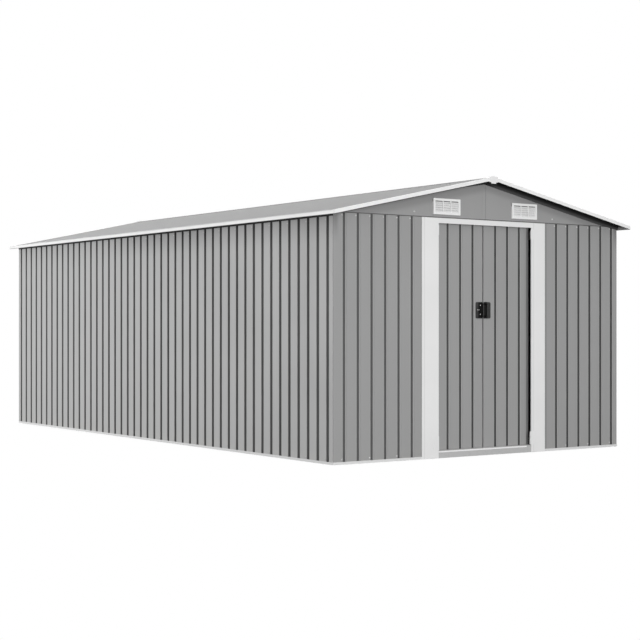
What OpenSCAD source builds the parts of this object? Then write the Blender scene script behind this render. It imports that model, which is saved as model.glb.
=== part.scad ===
// Ridged sheet-metal storage shed with two sliding doors, in millimetres.
// The front faces -Y, Z is up and the base rails stand on z = 0.

/* [Wall sheets] */
// Distance from one rib to the next
rib_pitch = 105; // [100:1:112]
// Rib pitches in one side sheet
panel_pitches = 11; // [10:1:12]
// Distance from a corner to the first rib of the side walls
corner_margin = 58; // [56:1:75]
// Distance from a corner to the first rib of the back wall
back_margin = 62; // [56:1:75]
// Distance from the left front corner to the first front rib
front_margin_left = 87; // [70:1:90]
// Distance from the right front corner to the first front rib
front_margin_right = 54; // [52:1:75]
// Width of the bevel where a sheet is folded round a corner
corner_bend = 4; // [2:0.5:8]
// Ribs on each front sheet
front_ribs = 6; // [5:1:6]
// Height of the wall sheets above the ground
wall_h = 1534; // [1480:1:1700]
// Sheet thickness
sheet_t = 0.8; // [0.6:0.1:1.2]
// Width of a rib at the outside
rib_mouth = 30; // [24:1:34]
// Width of a rib at its floor
rib_floor = 14; // [10:1:18]
// Depth of a rib
rib_depth = 11; // [7:0.5:12]

/* [Base rails] */
// Thickness of rails, jambs and other folded frame parts
frame_t = 1.2; // [1:0.1:2]
// Height of the outer lip of a base rail
rail_lip_h = 15; // [12:1:30]
// Depth of a base rail
rail_d = 44; // [38:1:60]
// Height of the inner lip of a base rail
rail_back_h = 14; // [8:1:25]
// Radius of the ground anchor holes
anchor_r = 4.5; // [3.5:0.5:6]
// Distance of an anchor hole from the wall face
anchor_in = 27; // [24:1:30]
// Distance of an anchor hole from the end of its rail
anchor_end = 560; // [200:10:900]

/* [Doorway] */
// Clear width between the jambs
opening_w = 798; // [750:2:820]
// Distance of the doorway centre to the right of the gable seam
door_x = 4.5; // [0:0.5:8]
// Width of the left jamb
jamb_w_left = 137; // [110:1:140]
// Width of the right jamb
jamb_w_right = 123; // [110:1:140]
// Depth of the jamb return
jamb_return = 5; // [3:0.5:10]
// Height of the door header
header_h = 33; // [20:1:45]
// Lap of a front sheet behind the jamb
jamb_lap = 91; // [60:1:95]
// Clear space between the wall sheets and the door leaves
leaf_clear = 19; // [17:0.5:22]
// Gap between the two closed leaves
leaf_gap = 11; // [8:0.5:12]
// Lap of a closed leaf behind its jamb
leaf_lap = 12; // [6:0.5:20]
// Depth of the folded leaf edges
leaf_edge_d = 18; // [14:1:20]
// Width of the stepped outer edge of a leaf
leaf_step_w = 30; // [16:0.5:31]
// Depth of the stepped outer edge of a leaf
leaf_step_d = 9; // [5:0.5:10]
// Distance of the first rib from the left edge of the left leaf
leaf_rib_left = 119; // [105:1:120]
// Distance of the first rib from the left edge of the right leaf
leaf_rib_right = 108; // [100:1:115]
// Least distance of the last rib from the right edge of a leaf
leaf_rib_out = 76; // [72:1:78]
// Height of the door sill
sill_h = 49; // [40:1:60]
// Clearance around the leaf in the sill channel
sill_clear = 6; // [5:0.5:8]
// Depth to which a leaf reaches into the sill
leaf_dip = 12; // [8:1:16]
// Width of the sill behind the leaves
sill_back_w = 24; // [18:1:30]
// Height of the leaf stiffeners
brace_h = 45; // [30:1:60]
// Distance of the low stiffener above the foot of a leaf
brace_low = 60; // [40:1:90]
// Distance of the high stiffener below the hanger plates
brace_high = 30; // [20:1:60]

/* [Door hardware] */
// Width of a handle
handle_w = 56; // [48:1:60]
// Height of a handle
handle_h = 107; // [96:1:120]
// Height of the handle centre above the ground
handle_z = 944; // [800:2:1100]
// Thickness of the handle plate
handle_plate_t = 5; // [4:0.5:7]
// Distance that the grip stands out from the leaf
handle_out = 27; // [24:1:28]
// Width of the handle grip
grip_w = 9; // [7:0.5:12]
// Distance of the grip from the inner edge of its plate
grip_in = 6; // [5:0.5:10]
// Length of the handle grip
grip_h = 88; // [80:1:92]
// Thickness of the handle grip
grip_t = 9; // [7:0.5:11]
// Radius of the handle corners
handle_corner_r = 10; // [6:1:14]
// Height of the door track
track_h = 32; // [28:1:36]
// Height of the front flange of the track
track_front_h = 28; // [20:1:32]
// Width of the track lip that carries the hangers
track_lip = 16; // [12:1:18]
// Width of a door hanger
hanger_w = 26; // [20:1:27]
// Height of the hanger plate
hanger_h = 44; // [34:1:60]
// Thickness of the hanger plate
hanger_t = 3; // [2:0.5:4]
// Distance of a hanger from the nearest edge of its leaf
hanger_in = 46; // [45:1:47]
// Height of the glider that rests on the track
glider_h = 7; // [5:0.5:9]
// Running gap of a hanger above the track lip
hanger_gap = 0.3; // [0.2:0.1:0.5]

/* [Roof] */
// Slope of the roof in degrees
roof_pitch = 12; // [10:0.5:14]
// Overhang of the roof over the side walls
eave_overhang = 48; // [40:1:70]
// Overhang of the roof over the front and back walls
verge_overhang = 80; // [60:1:110]
// Height of the white roof trims
trim_drop = 24; // [18:1:34]
// Width of the trim flange on the roof
trim_flange = 32; // [24:1:45]
// Thickness of the roof trims
trim_t = 1.2; // [1:0.1:2]
// Width of one side of the ridge cap
ridge_flange = 70; // [50:1:100]
// Half of the gap between the sheets at the ridge
ridge_gap = 6; // [4:1:10]
// Width of the seams between the roof sheets
sheet_seam = 0.5; // [0.4:0.1:1]
// Half width of the ridge end caps
end_cap_half = 36; // [28:1:48]
// Height by which an end cap stands above the trims
end_cap_rise = 6; // [4:0.5:10]
// Thickness of an end cap
end_cap_t = 2; // [1.5:0.1:3]
// Half width of the tab under an end cap
end_tab_half = 21; // [14:1:26]
// Height of the tab under an end cap
end_tab_h = 9; // [6:0.5:14]

/* [Gables] */
// Thickness of the gable sheets
gable_t = 1; // [0.8:0.1:1.5]
// Distance of a gable sheet in front of the wall face
gable_out = 2; // [1.8:0.1:4]
// Lap of a gable sheet below the top of the wall
gable_lap = 4; // [3:0.5:6]
// Width of the gable flange on the wall top
gable_flange = 26; // [16:1:30]
// Width of the seam between two gable sheets
gable_seam = 1; // [0.6:0.1:2]

/* [Vents] */
// Width of a vent
vent_w = 222; // [200:1:250]
// Height of a vent
vent_h = 102; // [90:1:106]
// Distance of a vent centre from the gable seam
vent_x = 334; // [320:1:350]
// Height of the vent above the top of the wall
vent_up = 17; // [13:1:20]
// Width of the vent border
vent_border = 15; // [11:1:17]
// Distance that a vent stands out from the gable
vent_out = 10; // [9:0.5:15]
// Number of louvres in a vent
vent_louvres = 5; // [4:1:6]
// Thickness of a louvre
louvre_t = 2.4; // [1.6:0.1:2.6]
// Drop of a louvre over each millimetre of its depth
louvre_slope = 1.4; // [0.8:0.05:1.5]
// Width of the upright bars in a vent
vent_bar_w = 6; // [4:0.5:12]
// Depth of the upright bars in a vent
vent_bar_d = 4; // [3:0.5:6]

/* [Inner frame] */
// Width of the wall rails
wall_rail_d = 40; // [30:1:45]
// Height of the wall rails
wall_rail_h = 45; // [30:1:60]
// Height of the middle wall rails above the ground
mid_rail_z = 770; // [650:5:850]
// Height of the inner lip of the top rails
top_rail_lip = 14; // [10:1:20]
// Distance of the corner posts from the nearest rib
post_gap = 4; // [3:0.5:8]
// Distance of the corner posts below the top rails
post_drop = 60; // [50:1:90]
// Half width of the ridge beam
beam_half = 25; // [20:1:32]
// Height of the ridge beam
beam_h = 55; // [45:1:70]
// Height of the roof purlins
purlin_h = 40; // [30:1:50]
// Width of the roof purlins
purlin_w = 30; // [24:1:38]
// Height of the purlin lip
purlin_lip = 10; // [8:1:16]
// Distance of the upper purlins from the ridge
purlin_upper = 420; // [380:5:460]
// Distance of the lower purlins from the ridge
purlin_lower = 830; // [780:5:900]

/* [Hidden] */
$fn = 48;
seat = 0.2;
end_gap = 1;
side_panels = 4;
half_run = side_panels * panel_pitches * rib_pitch / 2;
back_half = 6 * rib_pitch;
corner_steps = 5;
wall_w = 2 * (back_margin + corner_steps * rib_pitch + back_half);
wall_l = 2 * (corner_margin + half_run);
skin = rib_depth + sheet_t;
rise = tan(roof_pitch);
roof_half = wall_w / 2 + eave_overhang;
roof_len = wall_l + 2 * verge_overhang;
ridge_z = wall_h + seat + skin / cos(roof_pitch) + wall_w / 2 * rise;
roof_edge_in = trim_t + seat;
slope_len = (roof_half - trim_t - seat) / cos(roof_pitch);
jamb_top = wall_h - gable_lap - end_gap / 2;
leaf_setback = skin + leaf_clear;
leaf_in = leaf_gap / 2;
leaf_w = opening_w / 2 - leaf_in + leaf_lap;
leaf_ribs = floor((leaf_w - leaf_rib_left - leaf_rib_out) / rib_pitch) + 1;
leaf_bottom = sill_h - leaf_dip;
track_top = wall_h - 2 * end_gap;
track_back = leaf_setback + leaf_edge_d + sill_clear + track_lip;
lip_top = track_top - track_h + frame_t;
leaf_top = lip_top + glider_h;
gable_face = wall_l / 2 + gable_out + gable_t;
handle_x = leaf_in + end_gap;
rail_top = wall_h - 4 * end_gap;
post_w = min(corner_margin, back_margin, front_margin_left, front_margin_right) - rib_mouth / 2 - post_gap;

white = [0.93, 0.93, 0.92];
grey = [0.62, 0.62, 0.62];
zinc = [0.72, 0.74, 0.75];
black = [0.06, 0.06, 0.06];

// Folded sheets: a path thickened to its left, or to its right for a negative t
function normal(a, b) = [a.y - b.y, b.x - a.x] / norm(b - a);
function before(p, i) = i > 0 ? normal(p[i - 1], p[i]) : normal(p[0], p[1]);
function after(p, i) = i < len(p) - 1 ? normal(p[i], p[i + 1]) : before(p, i);
function corner_shift(a, b) = (a + b) / (1 + a * b);
function shifted(p, t) = [for (i = [0:len(p) - 1]) p[i] + t * corner_shift(before(p, i), after(p, i))];
function backwards(p) = [for (i = [len(p) - 1:-1:0]) p[i]];

module folded(path, t) {
  polygon(concat(path, backwards(shifted(path, t))));
}

// A polygon of x and z drawn out along Y, and one of y and z drawn out along X
module along_y(length) {
  rotate([90, 0, 0])
    linear_extrude(height = length, center = true)
      children();
}

module along_x(length) {
  rotate([90, 0, 90])
    linear_extrude(height = length, center = true)
      children();
}

// Walls are drawn with x along the wall and y inwards from its face
module on_front() {
  translate([0, -wall_l / 2, 0])
    children();
}

module on_right() {
  translate([wall_w / 2, 0, 0])
    rotate([0, 0, 90])
      children();
}

module on_left() {
  mirror([1, 0, 0])
    on_right()
      children();
}

module on_back() {
  translate([0, wall_l / 2, 0])
    rotate([0, 0, 180])
      children();
}

// The slope frame has x down the right slope and z square to it, with the sheet faces at z = 0
module on_slope(side) {
  mirror([side == "left" ? 1 : 0, 0, 0])
    translate([0, 0, ridge_z])
      rotate([0, roof_pitch, 0])
        children();
}

module side_of(side) {
  mirror([side == "left" ? 1 : 0, 0, 0])
    children();
}

function roof_top(x) = ridge_z - abs(x) * rise;
function roof_under(x) = roof_top(x) - (skin + seat) / cos(roof_pitch);

// Ribbed profile, with y as the depth below the face
function rib_start(c) = [[c, rib_depth], [c + rib_floor / 2, rib_depth], [c + rib_mouth / 2, 0]];
function rib_end(c) = [[c - rib_mouth / 2, 0], [c - rib_floor / 2, rib_depth], [c, rib_depth]];
function rib(c) = [
  [c - rib_mouth / 2, 0],
  [c - rib_floor / 2, rib_depth],
  [c + rib_floor / 2, rib_depth],
  [c + rib_mouth / 2, 0]
];
function ribs(first, count) = [for (i = [0:1:count - 1]) each rib(first + i * rib_pitch)];

// One sheet that starts and ends in the floor of a rib
function panel_path(x, pitches) = concat(
  rib_start(x),
  ribs(x + rib_pitch, pitches - 1),
  rib_end(x + pitches * rib_pitch)
);

module wall_sheet(path) {
  translate([0, 0, frame_t])
    linear_extrude(height = wall_h - frame_t)
      folded(path, sheet_t);
}

module side_panel(i) {
  wall_sheet(panel_path(-half_run + (i - 1) * panel_pitches * rib_pitch, panel_pitches));
}

module left_wall_panel(i) {
  color(grey)
    on_left()
      side_panel(i);
}

module right_wall_panel(i) {
  color(grey)
    on_right()
      side_panel(i);
}

// A corner sheet is folded round the corner and ends in the first rib of the side wall
function corner_start() = [
  [wall_w / 2 - rib_depth, corner_margin],
  [wall_w / 2 - rib_depth, corner_margin - rib_floor / 2],
  [wall_w / 2, corner_margin - rib_mouth / 2],
  [wall_w / 2, corner_bend],
  [wall_w / 2 - corner_bend, 0]
];
function front_ribs_in(side) =
  let (margin = side == "left" ? front_margin_left : front_margin_right)
  [for (i = [0:1:front_ribs - 1]) each backwards(rib(wall_w / 2 - margin - i * rib_pitch))];
function back_ribs_in() =
  [for (i = [0:1:corner_steps - 1]) each backwards(rib(wall_w / 2 - back_margin - i * rib_pitch))];

module front_sheet(side) {
  color(grey)
    side_of(side)
      on_front()
        wall_sheet_turned(concat(corner_start(), front_ribs_in(side), [[jamb_out(side) - jamb_lap, 0]]));
}

module back_corner_sheet(side) {
  color(grey)
    side_of(side)
      mirror([0, 1, 0])
        on_front()
          wall_sheet_turned(concat(corner_start(), back_ribs_in(), backwards(rib_start(back_half))));
}

module wall_sheet_turned(path) {
  translate([0, 0, frame_t])
    linear_extrude(height = wall_h - frame_t)
      folded(path, -sheet_t);
}

module front_wall_left() {
  front_sheet("left");
}

module front_wall_right() {
  front_sheet("right");
}

module back_corner_left() {
  back_corner_sheet("left");
}

module back_corner_right() {
  back_corner_sheet("right");
}

module back_wall_panel() {
  color(grey)
    on_back()
      wall_sheet(panel_path(-back_half, 2 * back_half / rib_pitch));
}

// Base rails, mitred at the corners
function rail_path() = [
  [-frame_t, rail_lip_h],
  [-frame_t, 0],
  [rail_d - frame_t, 0],
  [rail_d - frame_t, rail_back_h]
];

module rail_mitre(half) {
  linear_extrude(height = 2 * rail_lip_h, center = true)
    polygon([
      [-half - 2 * frame_t, -2 * frame_t],
      [half + 2 * frame_t, -2 * frame_t],
      [half - 2 * rail_d, 2 * rail_d],
      [-half + 2 * rail_d, 2 * rail_d]
    ]);
}

module base_rail(half) {
  intersection() {
    along_x(2 * half + 4 * frame_t)
      folded(rail_path(), frame_t);
    rail_mitre(half);
  }
}

module side_base_rail() {
  difference() {
    base_rail(wall_l / 2);
    for (s = [-1, 1])
      translate([s * (wall_l / 2 - anchor_end), anchor_in, 0])
        cylinder(r = anchor_r, h = 3 * frame_t, center = true);
  }
}

module base_rail_left() {
  color(white)
    on_left()
      side_base_rail();
}

module base_rail_right() {
  color(white)
    on_right()
      side_base_rail();
}

module base_rail_back() {
  color(white)
    on_back()
      base_rail(wall_w / 2);
}

module base_rail_front() {
  color(white)
    on_front()
      difference() {
        base_rail(wall_w / 2);
        translate([-jamb_in("left") - frame_t - seat, -rail_d, -rail_lip_h])
          cube([opening_w + 2 * (frame_t + seat), 4 * rail_d, 3 * rail_lip_h]);
      }
}

// Doorway, with the distances of the jamb edges from the gable seam
function jamb_in(side) = opening_w / 2 + (side == "left" ? -door_x : door_x);
function jamb_out(side) = jamb_in(side) + (side == "left" ? jamb_w_left : jamb_w_right);

module on_doorway() {
  translate([door_x, 0, 0])
    on_front()
      children();
}

module door_jamb(side) {
  a = jamb_in(side);
  b = jamb_out(side);
  color(white)
    side_of(side)
      on_front()
        linear_extrude(height = jamb_top)
          folded([[b, -2 * frame_t], [a, -2 * frame_t], [a, jamb_return]], -frame_t);
}

module door_jamb_left() {
  door_jamb("left");
}

module door_jamb_right() {
  door_jamb("right");
}

module door_header() {
  color(white)
    on_doorway()
      along_x(opening_w)
        folded([
          [-1.5 * frame_t, jamb_top - header_h],
          [-1.5 * frame_t, jamb_top],
          [skin, jamb_top]
        ], -frame_t);
}

module door_sill() {
  front = leaf_setback - sill_clear;
  back = leaf_setback + leaf_edge_d + sill_clear;
  floor_z = leaf_bottom - sill_clear;
  color(zinc)
    on_doorway()
      along_x(opening_w)
        folded([
          [-frame_t, 0],
          [-frame_t, sill_h],
          [front, sill_h],
          [front, floor_z],
          [back + frame_t, floor_z],
          [back + frame_t, sill_h],
          [back + sill_back_w, sill_h],
          [back + sill_back_w, 0]
        ], -frame_t);
}

module door_track() {
  color(zinc)
    on_front()
      along_x(wall_w - 2 * skin - end_gap)
        folded([
          [skin, track_top - track_front_h],
          [skin, track_top],
          [track_back, track_top],
          [track_back, track_top - track_h],
          [track_back - track_lip, track_top - track_h]
        ], -frame_t);
}

// Door leaves: two sheets of one shape, side by side
function leaf_x(side) = door_x + (side == "left" ? -leaf_in - leaf_w : leaf_in);

module on_leaf(side) {
  translate([leaf_x(side), leaf_setback - wall_l / 2, 0])
    children();
}

// The outer edge is stepped back where it passes behind the jamb
function leaf_step() = [
  [leaf_w - leaf_step_w, 0],
  [leaf_w - leaf_step_w + leaf_step_d / 3, leaf_step_d],
  [leaf_w, leaf_step_d],
  [leaf_w, leaf_edge_d]
];
function turned(path) = [for (q = backwards(path)) [leaf_w - q.x, q.y]];
function leaf_path(side) = side == "left" ?
  concat(turned(leaf_step()), ribs(leaf_rib_left, leaf_ribs), [[leaf_w, 0], [leaf_w, leaf_edge_d]]) :
  concat([[0, leaf_edge_d], [0, 0]], ribs(leaf_rib_right, leaf_ribs), leaf_step());

module leaf_brace(z) {
  translate([2 * sheet_t, skin, z])
    cube([leaf_w - 4 * sheet_t, frame_t, brace_h]);
}

module door_leaf(side) {
  color(grey)
    on_leaf(side) {
      translate([0, 0, leaf_bottom])
        linear_extrude(height = leaf_top - leaf_bottom)
          folded(leaf_path(side), sheet_t);
      leaf_brace(leaf_bottom + brace_low);
      leaf_brace(handle_z - brace_h / 2);
      leaf_brace(leaf_top - hanger_h - brace_h - brace_high);
    }
}

module door_leaf_left() {
  door_leaf("left");
}

module door_leaf_right() {
  door_leaf("right");
}

module door_hanger(x) {
  glider_d = track_back - leaf_setback - sheet_t - frame_t - hanger_t;
  translate([x - hanger_w / 2, sheet_t, leaf_top - hanger_h])
    cube([hanger_w, hanger_t, hanger_h]);
  translate([x - hanger_w / 2, sheet_t, lip_top + hanger_gap])
    cube([hanger_w, glider_d, glider_h - hanger_gap]);
}

module door_hangers(side) {
  color(black)
    on_leaf(side) {
      door_hanger(hanger_in);
      door_hanger(leaf_w - hanger_in);
    }
}

module door_hangers_left() {
  door_hangers("left");
}

module door_hangers_right() {
  door_hangers("right");
}

// Handles: a plate with a bow grip, rounded at the corners away from the door centre
module handle_outline() {
  r = handle_corner_r;
  difference() {
    translate([0, -handle_h / 2])
      square([handle_w, handle_h]);
    for (s = [-1, 1])
      translate([handle_w - r, s * (handle_h / 2 - r / 2) - r / 2])
        square([r, r]);
  }
  for (s = [-1, 1])
    translate([handle_w - r, s * (handle_h / 2 - r)])
      circle(r = r);
}

module grip_outline() {
  difference() {
    polygon([
      [0, -grip_h / 2],
      [handle_out - grip_t, -grip_h / 2],
      [handle_out, -grip_h / 2 + grip_t],
      [handle_out, grip_h / 2 - grip_t],
      [handle_out - grip_t, grip_h / 2],
      [0, grip_h / 2]
    ]);
    translate([0, -grip_h / 2 + grip_t])
      square([handle_out - grip_t, grip_h - 2 * grip_t]);
  }
}

module door_handle(side) {
  color(black)
    on_doorway()
      side_of(side)
        translate([handle_x, leaf_setback, handle_z]) {
          rotate([90, 0, 0])
            linear_extrude(height = handle_plate_t)
              handle_outline();
          translate([grip_in + grip_w / 2, 0, 0])
            mirror([0, 1, 0])
              along_x(grip_w)
                grip_outline();
        }
}

module door_handle_left() {
  door_handle("left");
}

module door_handle_right() {
  door_handle("right");
}

// Roof sheets run from the ridge to the eave
function roof_first() = concat(
  [[roof_edge_in - roof_len / 2, 0]],
  ribs(-half_run, panel_pitches),
  seam_end(-half_run / 2)
);
function roof_last() = concat(
  seam_start(half_run / 2),
  ribs(half_run / 2 + rib_pitch, panel_pitches),
  [[roof_len / 2 - roof_edge_in, 0]]
);
function roof_path(i) =
  i == 1 ? roof_first() :
  i == 2 ? seamed_path(-half_run / 2) :
  i == 3 ? seamed_path(0) :
  roof_last();
function seam_start(c) = [for (q = rib_start(c)) q.x == c ? [c + sheet_seam / 2, q.y] : q];
function seam_end(c) = [for (q = rib_end(c)) q.x == c ? [c - sheet_seam / 2, q.y] : q];
function seamed_path(c) = concat(
  seam_start(c),
  ribs(c + rib_pitch, panel_pitches - 1),
  seam_end(c + panel_pitches * rib_pitch)
);

module roof_sheets(side) {
  color(grey)
    on_slope(side)
      for (i = [1:side_panels])
        translate([ridge_gap, 0, 0])
          rotate([90, 0, 90])
            linear_extrude(height = slope_len - ridge_gap)
              mirror([0, 1])
                folded(roof_path(i), sheet_t);
}

module roof_left() {
  roof_sheets("left");
}

module roof_right() {
  roof_sheets("right");
}

module ridge_cap() {
  color(grey)
    along_y(roof_len - 2 * trim_flange - 2 * seat)
      folded([
        [-ridge_flange, roof_top(ridge_flange)],
        [0, ridge_z],
        [ridge_flange, roof_top(ridge_flange)]
      ], trim_t);
}

module eave_trim(side) {
  r = roof_half;
  color(white)
    side_of(side) {
      along_y(roof_len)
        polygon([
          [r - trim_t, roof_top(r - trim_t) + trim_t],
          [r, roof_top(r) + trim_t],
          [r, roof_top(r) + trim_t - trim_drop],
          [r - trim_t, roof_top(r) + trim_t - trim_drop]
        ]);
      along_y(roof_len - 2 * trim_flange - 2 * seat)
        polygon([
          [r - trim_flange, roof_top(r - trim_flange)],
          [r - trim_t / 2, roof_top(r - trim_t / 2)],
          [r - trim_t / 2, roof_top(r - trim_t / 2) + trim_t],
          [r - trim_flange, roof_top(r - trim_flange) + trim_t]
        ]);
    }
}

module eave_trim_left() {
  eave_trim("left");
}

module eave_trim_right() {
  eave_trim("right");
}

module verge_strip(thick, depth) {
  a = gable_seam / 2;
  b = roof_half - trim_t;
  translate([0, (depth - roof_len) / 2, 0])
    along_y(depth)
      polygon([
        [a, roof_top(a) + trim_t],
        [b, roof_top(b) + trim_t],
        [b, roof_top(b) + trim_t - thick],
        [a, roof_top(a) + trim_t - thick]
      ]);
}

module verge_trim(end, side) {
  color(white)
    mirror([0, end == "back" ? 1 : 0, 0])
      side_of(side) {
        verge_strip(trim_drop, trim_t);
        verge_strip(trim_t, trim_flange);
      }
}

module front_verge_trims() {
  verge_trim("front", "left");
  verge_trim("front", "right");
}

module back_verge_trims() {
  verge_trim("back", "left");
  verge_trim("back", "right");
}

module end_cap_face() {
  c = end_cap_half;
  top = trim_t + end_cap_rise;
  low = roof_top(c) - trim_drop - 2 * end_gap;
  polygon([
    [-c, roof_top(c) + top],
    [0, ridge_z + top],
    [c, roof_top(c) + top],
    [c, low],
    [end_tab_half, low],
    [end_tab_half, low - end_tab_h],
    [-end_tab_half, low - end_tab_h],
    [-end_tab_half, low],
    [-c, low]
  ]);
}

module ridge_end_cap() {
  c = end_cap_half;
  translate([0, -(roof_len + end_cap_t) / 2, 0])
    along_y(end_cap_t)
      end_cap_face();
  translate([0, (trim_flange - roof_len) / 2, 0])
    along_y(trim_flange)
      folded([
        [-c, roof_top(c) + trim_t + seat],
        [0, ridge_z + trim_t + seat],
        [c, roof_top(c) + trim_t + seat]
      ], (end_cap_rise - seat) * cos(roof_pitch));
}

module ridge_end_caps() {
  color(white) {
    ridge_end_cap();
    mirror([0, 1, 0])
      ridge_end_cap();
  }
}

// Gable sheets, lapped over the wall and turned in at the foot
function gable_top(x) = roof_top(x) - (sheet_t + seat / 2) / cos(roof_pitch);

module gable_face_outline() {
  a = gable_seam / 2;
  b = wall_w / 2;
  polygon([
    [a, wall_h - gable_lap],
    [b, wall_h - gable_lap],
    [b, gable_top(b)],
    [a, gable_top(a)]
  ]);
}

module vent_hole() {
  translate([vent_x, wall_h + vent_up + vent_h / 2])
    square([vent_w - 2 * vent_border, vent_h - 2 * vent_border], center = true);
}

module gable_sheet(vented) {
  translate([0, -gable_face + gable_t / 2, 0])
    along_y(gable_t)
      difference() {
        gable_face_outline();
        if (vented)
          vent_hole();
      }
  translate([gable_seam / 2, -gable_face + gable_t / 2, wall_h])
    cube([wall_w / 2 - skin - wall_rail_d - 2 * end_gap, gable_flange + gable_out, gable_t]);
}

module front_gable_left() {
  color(grey)
    side_of("left")
      gable_sheet(true);
}

module front_gable_right() {
  color(grey)
    gable_sheet(true);
}

module back_gables() {
  color(grey)
    for (side = ["left", "right"])
      side_of(side)
        mirror([0, 1, 0])
          gable_sheet(false);
}

// Vents: a frame with upright bars and sloping louvres
module vent_frame() {
  rotate([90, 0, 0])
    linear_extrude(height = vent_out)
      difference() {
        square([vent_w, vent_h], center = true);
        square([vent_w - 2 * vent_border, vent_h - 2 * vent_border], center = true);
      }
}

module vent_louvre() {
  run = vent_out - 2 * end_gap;
  half_drop = run * louvre_slope / 2;
  along_x(vent_w - 2 * vent_border + 2 * end_gap)
    polygon([
      [-end_gap, half_drop],
      [-end_gap, half_drop + louvre_t],
      [-end_gap - run, louvre_t - half_drop],
      [-end_gap - run, -half_drop]
    ]);
}

module vent(side) {
  inner_h = vent_h - 2 * vent_border;
  step = inner_h / vent_louvres;
  bar_step = (vent_w - 2 * vent_border) / 3;
  color(white)
    side_of(side)
      translate([vent_x, -gable_face, wall_h + vent_up + vent_h / 2]) {
        vent_frame();
        for (i = [0:1:vent_louvres - 1])
          translate([0, 0, (i + 0.5) * step - inner_h / 2 - louvre_t / 2])
            vent_louvre();
        for (s = [-0.5, 0.5])
          translate([s * bar_step - vent_bar_w / 2, -vent_out, -inner_h / 2 - end_gap])
            cube([vent_bar_w, vent_bar_d, inner_h + 2 * end_gap]);
      }
}

module vent_left() {
  vent("left");
}

module vent_right() {
  vent("right");
}

// Inner frame
module wall_angle(length, z) {
  along_x(length)
    folded([[skin, z - wall_rail_h], [skin, z], [skin + wall_rail_d, z]], -frame_t);
}

module side_top_rail() {
  a = skin;
  b = skin + wall_rail_d;
  start = track_back + end_gap;
  end = skin + end_gap;
  translate([(start - end) / 2, 0, 0])
    along_x(wall_l - start - end)
      folded([
        [a, rail_top - wall_rail_h],
        [a, roof_under(wall_w / 2 - a)],
        [b, roof_under(wall_w / 2 - b)],
        [b, roof_under(wall_w / 2 - b) - top_rail_lip]
      ], -frame_t);
}

module wall_top_rails() {
  color(zinc) {
    on_left()
      side_top_rail();
    on_right()
      side_top_rail();
    on_back()
      wall_angle(wall_w - 2 * (skin + wall_rail_d + end_gap), rail_top);
  }
}

module wall_mid_rails() {
  color(zinc) {
    on_left()
      wall_angle(wall_l - 2 * track_back, mid_rail_z);
    on_right()
      wall_angle(wall_l - 2 * track_back, mid_rail_z);
    on_back()
      wall_angle(wall_w - 2 * track_back, mid_rail_z);
  }
}

module corner_post(side) {
  side_of(side)
    on_front()
      translate([0, 0, frame_t])
        linear_extrude(height = rail_top - post_drop - frame_t)
          folded([
            [wall_w / 2 - sheet_t, post_w],
            [wall_w / 2 - sheet_t, sheet_t + corner_bend],
            [wall_w / 2 - sheet_t - corner_bend, sheet_t],
            [wall_w / 2 - post_w, sheet_t]
          ], -frame_t);
}

module corner_posts() {
  color(zinc)
    for (side = ["left", "right"]) {
      corner_post(side);
      mirror([0, 1, 0])
        corner_post(side);
    }
}

module ridge_beam() {
  h = beam_half;
  color(zinc)
    along_y(wall_l + 2 * gable_out - 2 * seat)
      folded([
        [-h, roof_under(h) - beam_h],
        [-h, roof_under(h)],
        [0, roof_under(0)],
        [h, roof_under(h)],
        [h, roof_under(h) - beam_h]
      ], -frame_t);
}

module purlin(x) {
  along_y(wall_l + 2 * gable_out - 2 * seat)
    folded([
      [x, -skin - seat - purlin_h],
      [x, -skin - seat],
      [x + purlin_w, -skin - seat],
      [x + purlin_w, -skin - seat - purlin_lip]
    ], -frame_t);
}

module purlins() {
  color(zinc)
    for (side = ["left", "right"])
      on_slope(side) {
        purlin(purlin_upper);
        purlin(purlin_lower);
      }
}

base_rail_left();
base_rail_right();
base_rail_back();
base_rail_front();
left_wall_panel(1);  // left_wall_panel_1
left_wall_panel(2);  // left_wall_panel_2
left_wall_panel(3);  // left_wall_panel_3
left_wall_panel(4);  // left_wall_panel_4
right_wall_panel(1);  // right_wall_panel_1
right_wall_panel(2);  // right_wall_panel_2
right_wall_panel(3);  // right_wall_panel_3
right_wall_panel(4);  // right_wall_panel_4
front_wall_left();
front_wall_right();
back_corner_left();
back_corner_right();
back_wall_panel();
front_gable_left();
front_gable_right();
back_gables();
vent_left();
vent_right();
door_jamb_left();
door_jamb_right();
door_header();
door_sill();
door_track();
door_leaf_left();
door_leaf_right();
door_hangers_left();
door_hangers_right();
door_handle_left();
door_handle_right();
roof_left();
roof_right();
ridge_cap();
ridge_end_caps();
eave_trim_left();
eave_trim_right();
front_verge_trims();
back_verge_trims();
corner_posts();
wall_top_rails();
wall_mid_rails();
ridge_beam();
purlins();
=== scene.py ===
import math

import bmesh
import bpy
from mathutils import Matrix, Vector


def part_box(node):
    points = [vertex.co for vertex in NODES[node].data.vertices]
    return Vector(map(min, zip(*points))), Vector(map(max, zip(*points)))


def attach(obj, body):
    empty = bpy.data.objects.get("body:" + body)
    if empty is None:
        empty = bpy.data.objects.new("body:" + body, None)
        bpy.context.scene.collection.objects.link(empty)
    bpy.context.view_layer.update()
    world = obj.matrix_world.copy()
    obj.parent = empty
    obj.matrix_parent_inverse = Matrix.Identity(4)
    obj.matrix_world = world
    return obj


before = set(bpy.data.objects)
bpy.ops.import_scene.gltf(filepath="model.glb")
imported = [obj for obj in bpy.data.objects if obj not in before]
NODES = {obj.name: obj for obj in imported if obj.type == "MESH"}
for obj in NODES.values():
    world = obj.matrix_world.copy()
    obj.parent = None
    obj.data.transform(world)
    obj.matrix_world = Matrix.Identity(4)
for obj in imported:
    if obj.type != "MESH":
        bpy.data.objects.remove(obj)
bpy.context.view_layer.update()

scene = bpy.context.scene

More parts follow.
